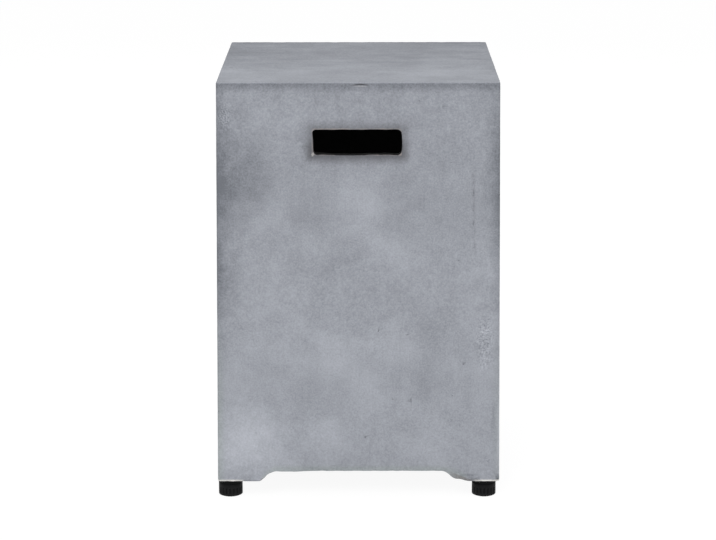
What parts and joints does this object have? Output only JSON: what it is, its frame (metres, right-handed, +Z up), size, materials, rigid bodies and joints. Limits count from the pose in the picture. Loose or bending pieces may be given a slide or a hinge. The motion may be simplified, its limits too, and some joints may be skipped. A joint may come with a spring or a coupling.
{
  "type": "propane tank cover table",
  "caption": "Square cast-concrete side table, hollow and open below to cover an upright gas cylinder, with hand slots, a shallow arch in each side and screw-adjusted levelling feet.",
  "frame": {"origin": "on the floor under the middle of the table, with the feet screwed fully in", "axes": "+Z up, -Y out of the front face with the hand slot, +X to the right seen from the front"},
  "size_m": [0.4064, 0.4064, 0.606],
  "materials": {
    "cast_concrete": "matt cast fibre cement, clouded grey with fine grain and small air holes; the inside is sealed black",
    "insert_brass": "turned, dulled",
    "bolt_zinc": "zinc plated, satin",
    "foot_nylon": "black moulded, lightly scuffed",
    "pad_rubber": "black, matt"
  },
  "bodies": {
    "shell": {"shell": "cast_concrete", "threaded_insert_front_left": "insert_brass", "threaded_insert_front_right": "insert_brass", "threaded_insert_back_left": "insert_brass", "threaded_insert_back_right": "insert_brass"},
    "pad_front_left": {"swivel_pad_front_left": "pad_rubber"},
    "foot_front_left": {"levelling_foot_front_left": "foot_nylon", "levelling_bolt_front_left": "bolt_zinc"},
    "pad_front_right": {"swivel_pad_front_right": "pad_rubber"},
    "foot_front_right": {"levelling_foot_front_right": "foot_nylon", "levelling_bolt_front_right": "bolt_zinc"},
    "pad_back_left": {"swivel_pad_back_left": "pad_rubber"},
    "foot_back_left": {"levelling_foot_back_left": "foot_nylon", "levelling_bolt_back_left": "bolt_zinc"},
    "pad_back_right": {"swivel_pad_back_right": "pad_rubber"},
    "foot_back_right": {"levelling_foot_back_right": "foot_nylon", "levelling_bolt_back_right": "bolt_zinc"}
  },
  "joints": [
    {"name": "extend_front_left", "type": "slide", "parent": "shell", "child": "pad_front_left", "axis": [0, 0, -1], "range_m": [0, 0.01201]},
    {"name": "turn_front_left", "type": "hinge", "parent": "pad_front_left", "child": "foot_front_left", "pos_m": [-0.1857, -0.1837, 0], "axis": [0, 0, -1], "range_deg": [0, 3456]},
    {"name": "extend_front_right", "type": "slide", "parent": "shell", "child": "pad_front_right", "axis": [0, 0, -1], "range_m": [0, 0.01201]},
    {"name": "turn_front_right", "type": "hinge", "parent": "pad_front_right", "child": "foot_front_right", "pos_m": [0.1817, -0.1837, 0], "axis": [0, 0, -1], "range_deg": [0, 3456]},
    {"name": "extend_back_left", "type": "slide", "parent": "shell", "child": "pad_back_left", "axis": [0, 0, -1], "range_m": [0, 0.01201]},
    {"name": "turn_back_left", "type": "hinge", "parent": "pad_back_left", "child": "foot_back_left", "pos_m": [-0.1857, 0.1837, 0], "axis": [0, 0, -1], "range_deg": [0, 3456]},
    {"name": "extend_back_right", "type": "slide", "parent": "shell", "child": "pad_back_right", "axis": [0, 0, -1], "range_m": [0, 0.01201]},
    {"name": "turn_back_right", "type": "hinge", "parent": "pad_back_right", "child": "foot_back_right", "pos_m": [0.1817, 0.1837, 0], "axis": [0, 0, -1], "range_deg": [0, 3456]}
  ],
  "couplings": [
    {"joint": "extend_front_left", "follows": "turn_front_left", "m_per_rad": 0.00019894},
    {"joint": "extend_front_right", "follows": "turn_front_right", "m_per_rad": 0.00019894},
    {"joint": "extend_back_left", "follows": "turn_back_left", "m_per_rad": 0.00019894},
    {"joint": "extend_back_right", "follows": "turn_back_right", "m_per_rad": 0.00019894}
  ]
}
